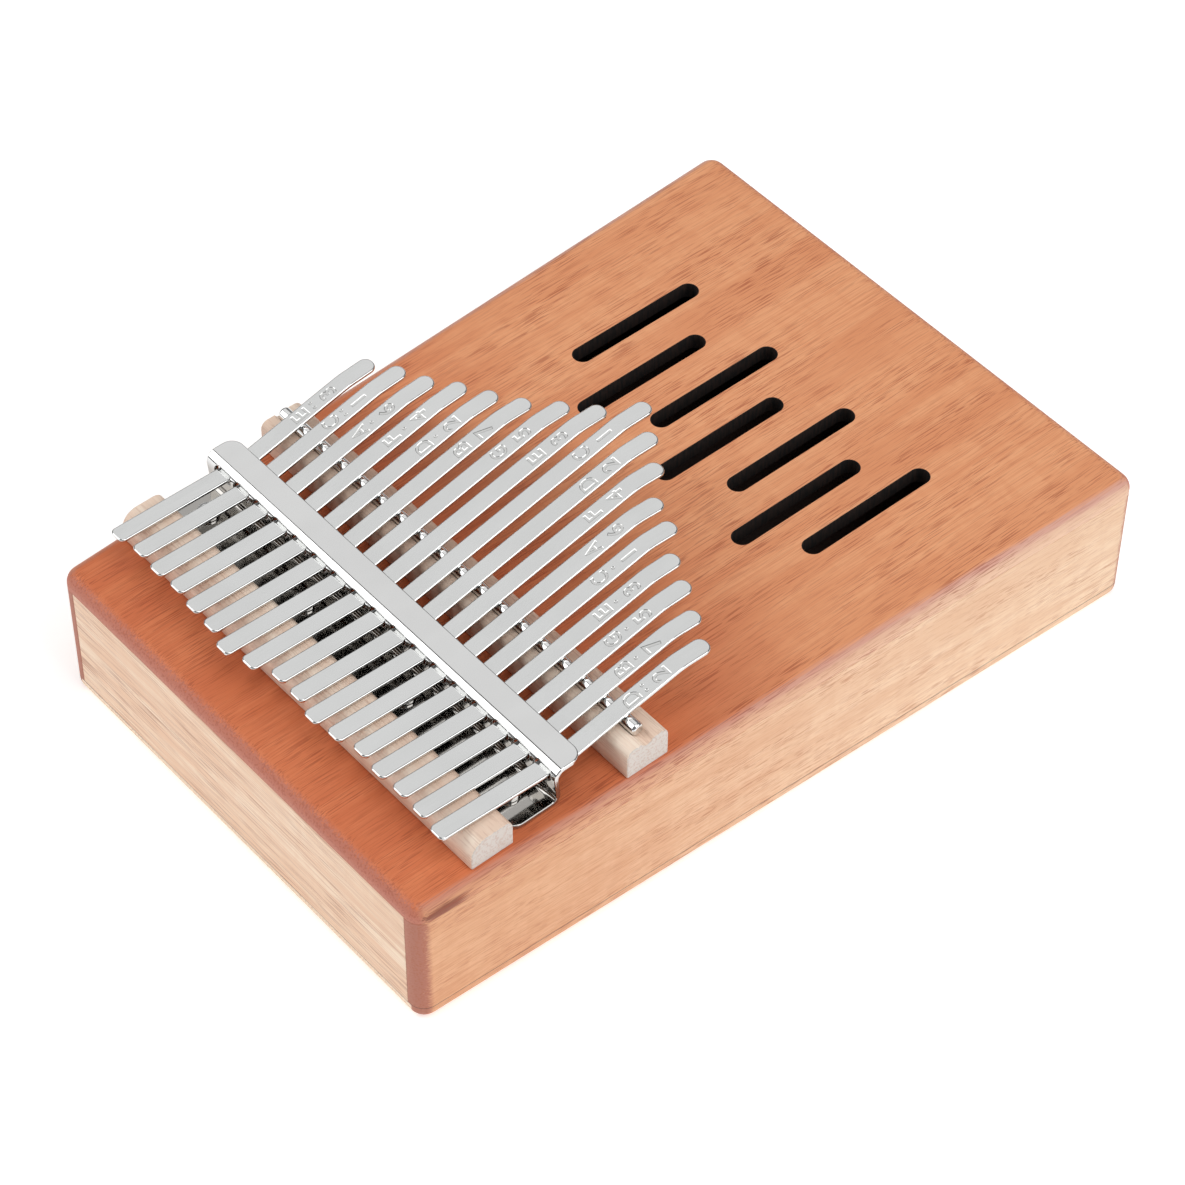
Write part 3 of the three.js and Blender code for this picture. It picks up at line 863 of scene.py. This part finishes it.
def bridges_and_rod():
    """The two wooden bars, and the rod that lies in the front one's groove."""
    low, high = box("saddle_rod")
    centre, radius = (low[1:] + high[1:]) / 2, (high[2] - low[2]) / 2
    section = circle(centre, radius, steps=40)
    rod = Slab([section], high[0] - low[0], along_x(low[0]), ROD_DOME, ROD_DOME, steps=6)
    piece("saddle_rod_steel", [rod], ROD_STEEL, "saddle_rod")

    low, high = box("front_bridge")
    groove_radius = radius + ROD_CLEARANCE
    reach = math.sqrt(groove_radius**2 - (high[2] - centre[1])**2)
    dip = math.atan2(high[2] - centre[1], reach)
    groove = [(centre[0] + groove_radius * math.cos(a), centre[1] + groove_radius * math.sin(a))
              for a in np.linspace(dip, -math.pi - dip, GROOVE_POINTS)]
    feet = [(low[1], low[2]), (high[1], low[2])]
    shoulders = rounded([*feet, (high[1], high[2]), (low[1], high[2])],
                        [BRIDGE_FOOT_ROUND, BRIDGE_FOOT_ROUND, FRONT_BRIDGE_ROUND, FRONT_BRIDGE_ROUND])
    split = np.flatnonzero(shoulders[:, 0] < centre[0] - reach)
    split = split[split > len(shoulders) / 2][0]
    section = np.concatenate([shoulders[:split], groove, shoulders[split:]])
    front = bridge(section, low[0], high[0])
    piece("front_bridge_wood", [front], BRIDGE_WOOD, "front_bridge")

    low, high = box("rear_bridge")
    back_round, front_round = REAR_BRIDGE_ROUND
    section = rectangle((low[1], high[1]), (low[2], high[2]),
                        [BRIDGE_FOOT_ROUND, BRIDGE_FOOT_ROUND, front_round, back_round], steps=12)
    rear = bridge(section, low[0], high[0])
    piece("rear_bridge_wood", [rear], BRIDGE_WOOD, "rear_bridge")


# ---------------------------------------------------------------- tines

def note_of(number):
    """The note's letter, digit and octave dots. The notes climb alternately to the left and right."""
    from_middle = number - (TINES + 1) // 2
    degree = 2 * from_middle - 1 if from_middle > 0 else -2 * from_middle
    return "CDEFGAB"[degree % 7], str(degree % 7 + 1), degree // 7


def glyph_edges(character, centre_s):
    """A letter's outline as edges in the tine's own plane, upright for a reader at the slots."""
    text = bpy.data.curves.new("glyph", "FONT")
    text.body = character
    text.resolution_u = 4
    text.offset = GLYPH_WEIGHT
    holder = bpy.data.objects.new("glyph", text)
    bpy.context.scene.collection.objects.link(holder)
    bpy.context.view_layer.update()
    mesh = bpy.data.meshes.new_from_object(holder)
    points = np.array([v.co[:2] for v in mesh.vertices])
    uses = {}
    for polygon in mesh.polygons:
        for key in polygon.edge_keys:
            uses[key] = uses.get(key, 0) + 1
    rim = np.array([key for key, count in sorted(uses.items()) if count == 1])
    bpy.data.objects.remove(holder)
    bpy.data.curves.remove(text)
    bpy.data.meshes.remove(mesh)
    low, high = points.min(axis=0), points.max(axis=0)
    scale = GLYPH_HEIGHT / (high[1] - low[1])
    across = min(scale, GLYPH_WIDTH / (high[0] - low[0]))
    local = (points - (low + high) / 2) * [-across, -scale]
    return (local + [0, centre_s])[rim]


def ring_edges(ring):
    return np.stack([ring, np.roll(ring, -1, axis=0)], axis=1)


def dot_edges(x, s):
    return ring_edges(circle((x, s), DOT_RADIUS, steps=10))


def note_marks(number, length):
    """The engraved outlines on one tine, placed by the distance back from its tip."""
    letter, digit, dots = note_of(number)
    marks = [glyph_edges(digit, length - DIGIT_FROM_TIP)]
    places = {0: [], 1: [0], 2: [-DOT_SPREAD, DOT_SPREAD]}[dots]
    marks += [dot_edges(x, length - DOTS_FROM_TIP - DOT_ROW / 2) for x in places]
    letter_s = length - LETTER_FROM_TIP - (DOT_ROW if dots else 0)
    marks.append(glyph_edges(letter, letter_s))
    return np.concatenate(marks)


def tine_shape(points, at_wall, turn):
    """A tine's middle line, edge on, and half its width, from its CAD corners."""
    ahead = np.array([math.sin(turn), math.cos(turn)])
    right = np.array([math.cos(turn), -math.sin(turn)])
    from_wall = points[:, :2] - [at_wall, WALL_Y]
    y = from_wall @ ahead + WALL_Y
    tail, tip = y.min(), y.max()
    tail_z = BEND_Z + TAIL_SLOPE * (tail - BEND_Y)
    bend_z = BEND_Z + PLAY_SLOPE * (tip - TIP_BEND - BEND_Y)
    tip_z = points[y > tip - TIP_SAMPLE, 2].mean()
    corners = [(tail, tail_z), (BEND_Y, BEND_Z), (tip - TIP_BEND, bend_z), (tip, tip_z)]
    return Bend(corners, [LIP_BEND_RADIUS, TIP_BEND_RADIUS]), np.abs(from_wall @ right).max()


def tine(number):
    """One tine from tail to tip, in place of its held and its playing CAD nodes. Gives its X at the wall."""
    label = f"tine_{number:02d}"
    points = cad_points(f"{label}_held", f"{label}_play")
    line = np.polyfit(points[:, 1], points[:, 0], 1)
    turn = math.atan(line[0])
    at_wall = np.polyval(line, WALL_Y)
    bend, half = tine_shape(points, at_wall, turn)
    radii = [TAIL_ROUND, TAIL_ROUND, TIP_ROUND, TIP_ROUND]
    outline = rectangle((-half, half), (0, bend.length), radii, steps=10)
    rod_low, rod_high = box("saddle_rod")
    rod_y = (rod_low[1] + rod_high[1]) / 2
    rod_s = bend.length_at(0, rod_y, 2)
    flex_creases = np.linspace(rod_s - FLEX, rod_s + FLEX, FLEX_CREASES).tolist()
    slab = Slab([outline], TINE_THICKNESS, bent(bend, TINE_THICKNESS, turn, (at_wall, WALL_Y)), TINE_EDGE,
                TINE_EDGE, steps=4, creases=sorted(bend.steps(TINE_BEND_STEPS) + flex_creases),
                marks=note_marks(number, bend.length), mark_depth=ENGRAVING)
    made = piece(f"{label}_steel", [slab], TINE_STEEL, body=None,
                 replaces=[f"{label}_held", f"{label}_play"], cut_material=ETCHED_STEEL)
    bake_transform(made)
    return at_wall


# ---------------------------------------------------------------- bracket and screws

def bracket(tine_xs):
    """The bent sheet, with a slot in its wall at each tine."""
    low, high = box("bracket")
    foot_z, lip_z = low[2] + SHEET / 2, high[2] - SHEET / 2
    corners = [(low[1], foot_z), (WALL_Y, foot_z), (WALL_TOP_Y, lip_z), (high[1], lip_z)]
    bend = Bend(corners, [FOOT_BEND, LIP_BEND])
    outline = rectangle((low[0], high[0]), (0, bend.length), BRACKET_CORNER, steps=10)
    s = [bend.length_at(1, z, 2) for z in TINE_SLOT_Z]
    half = TINE_SLOT_WIDTH / 2
    slots = [hole(rectangle((x - half, x + half), s, TINE_SLOT_ROUND, steps=6)) for x in tine_xs]
    slab = Slab([outline, *slots], SHEET, bent(bend, SHEET), SHEET_EDGE, SHEET_EDGE, steps=4,
                creases=bend.steps(BRACKET_BEND_STEPS))
    piece("bracket_plate", [slab], PLATE_STEEL, "bracket")


def cross_edges():
    """The outline of a cross recess."""
    thin, reach = RECESS_ARM
    arm = [(reach, -thin), (reach, thin), (thin, thin), (thin, reach), (-thin, reach), (-thin, thin)]
    return ring_edges(np.array(arm + [(-x, -y) for x, y in arm]))


def threaded_shank(x, y, bottom, top, round_steps=24, rise_steps=110):
    """A screw's shank with a rolled thread and a point, closed at both ends."""
    turn = np.arange(round_steps) * 2 * math.pi / round_steps
    points, faces = [], []
    for k in range(rise_steps + 1):
        z = bottom + (top - bottom) * k / rise_steps
        phase = ((z - bottom) / THREAD_PITCH + turn / (2 * math.pi)) % 1
        ridge = THREAD_DEPTH * np.abs(2 * phase - 1)
        taper = min(1, POINT_SHARE + (z - bottom) / POINT_LENGTH)
        radius = (SHANK_RADIUS - ridge) * taper
        ring = [x + radius * np.cos(turn), y + radius * np.sin(turn), np.full(round_steps, z)]
        points.append(np.column_stack(ring))
    for k in range(rise_steps):
        for i in range(round_steps):
            j = (i + 1) % round_steps
            low, high = k * round_steps, (k + 1) * round_steps
            faces.append([low + i, low + j, high + j, high + i])
    faces.append(list(range(round_steps))[::-1])
    faces.append([rise_steps * round_steps + i for i in range(round_steps)])
    points = np.concatenate(points)
    outward = unit(np.column_stack([points[:, :2] - [x, y], np.zeros(len(points))]))
    normals = [outward[c] for face in faces[:-2] for c in face]
    normals += [(0, 0, -1)] * round_steps + [(0, 0, 1)] * round_steps
    return points, faces, np.array(normals), [False] * len(faces)


def screws():
    for number in range(1, SCREWS + 1):
        node = f"bracket_screw_{number}"
        low, high = box(node)
        x, y = (low[:2] + high[:2]) / 2
        seat = high[2] - HEAD_HEIGHT
        radius = (high[0] - low[0]) / 2
        place = flat_at(np.eye(3), (x, y, seat))
        head = Slab([circle((0, 0), radius, steps=32)], HEAD_HEIGHT, place, top_round=HEAD_DOME, steps=5,
                    marks=cross_edges(), mark_depth=RECESS_DEPTH)
        shank = threaded_shank(x, y, low[2], seat - HEAD_GAP)
        piece(f"pan_head_screw_{number}", [head, shank], ROD_STEEL, node)


# ---------------------------------------------------------------- floor, light and camera

FLOOR_SIZE = 6.0
FLOOR_GAP = 0.05 * MM  # keeps the floor out of the underside's own plane
FLOOR_COLOUR = (0.9, 0.9, 0.9, 1)
FLOOR_GLOW = 0.42
WORLD_STRENGTH = 0.2
LIT_POINT = Vector((0, -0.02, 0.04))
LIGHT_DISTANCE = 1.6

# Each softbox has a name, a direction from the object, the way one side runs, a size in metres and a radiance
SOFTBOXES = [
    ("behind", (-0.515, 0.285, 0.81), (0, 1, 0), (1.2, 0.72), 0.7),
    ("above", (0.25, -0.05, 0.95), (0, 1, 0), (0.9, 0.9), 2.5),
    ("right", (0.76, 0.25, 0.6), (0, 1, 0), (1.4, 1.4), 2.1),
    ("left", (-0.5, -0.62, 0.6), (1, 0, 0), (0.8, 1.6), 2.3),
]

CAMERA_TARGET = (0.224, 0.331, 10.0)
CAMERA_AZIMUTH = 49.1310
CAMERA_ELEVATION = 48.4371
CAMERA_DISTANCE = 828.492
CAMERA_ROLL = -0.3923
CAMERA_LENS = 119.884  # on a 36 mm sensor
CAMERA_CLIP = (0.01, 20)


def floor():
    shader = Shader("studio_floor", roughness=0.6)
    mesh = bpy.data.meshes.new("floor")
    half = FLOOR_SIZE / 2
    square = [(-1, -1), (1, -1), (1, 1), (-1, 1)]
    mesh.from_pydata([(half * x, half * y, -FLOOR_GAP) for x, y in square], [], [(0, 1, 2, 3)])
    looks = shader.finish(Base_Color=FLOOR_COLOUR, Emission_Color=WHITE, Emission_Strength=FLOOR_GLOW)
    mesh.materials.append(looks)
    plane = bpy.data.objects.new("floor", mesh)
    bpy.context.scene.collection.objects.link(plane)


def world():
    made = bpy.data.worlds.new("studio")
    made.use_nodes = True
    background = made.node_tree.nodes["Background"]
    background.inputs["Color"].default_value = WHITE
    background.inputs["Strength"].default_value = WORLD_STRENGTH
    bpy.context.scene.world = made


def softbox(name, direction, along, size, radiance):
    """A rectangular light that faces the object from a direction, one side of it running along a vector."""
    light = bpy.data.lights.new(name, "AREA")
    light.shape = "RECTANGLE"
    light.size, light.size_y = size
    light.energy = radiance * math.pi * size[0] * size[1]
    holder = bpy.data.objects.new(name, light)
    away = Vector(direction).normalized()
    side = (Vector(along) - Vector(along).dot(away) * away).normalized()
    turn = Matrix((side, away.cross(side), away)).transposed()
    holder.matrix_world = Matrix.Translation(LIT_POINT + away * LIGHT_DISTANCE) @ turn.to_4x4()
    bpy.context.scene.collection.objects.link(holder)


def camera():
    azimuth, elevation, roll = (math.radians(a) for a in (CAMERA_AZIMUTH, CAMERA_ELEVATION, CAMERA_ROLL))
    level_part = math.cos(elevation)
    back = Vector((math.sin(azimuth) * level_part, -math.cos(azimuth) * level_part, math.sin(elevation)))
    right = (-back).cross(Vector((0, 0, 1))).normalized()
    up = back.cross(right)
    turned_right = math.cos(roll) * right - math.sin(roll) * up
    turned_up = math.sin(roll) * right + math.cos(roll) * up
    data = bpy.data.cameras.new("camera")
    data.lens = CAMERA_LENS
    data.clip_start, data.clip_end = CAMERA_CLIP
    made = bpy.data.objects.new("camera", data)
    bpy.context.scene.collection.objects.link(made)
    turn = Matrix((turned_right, turned_up, back)).transposed()
    spot = (Vector(CAMERA_TARGET) + back * CAMERA_DISTANCE) * MM
    made.matrix_world = Matrix.Translation(spot) @ turn.to_4x4()
    bpy.context.scene.camera = made


# ---------------------------------------------------------------- build

camera()
sound_box()
bridges_and_rod()
bracket([tine(number) for number in range(1, TINES + 1)])
screws()
floor()
world()
for settings in SOFTBOXES:
    softbox(*settings)
bpy.context.scene.view_settings.view_transform = "Standard"
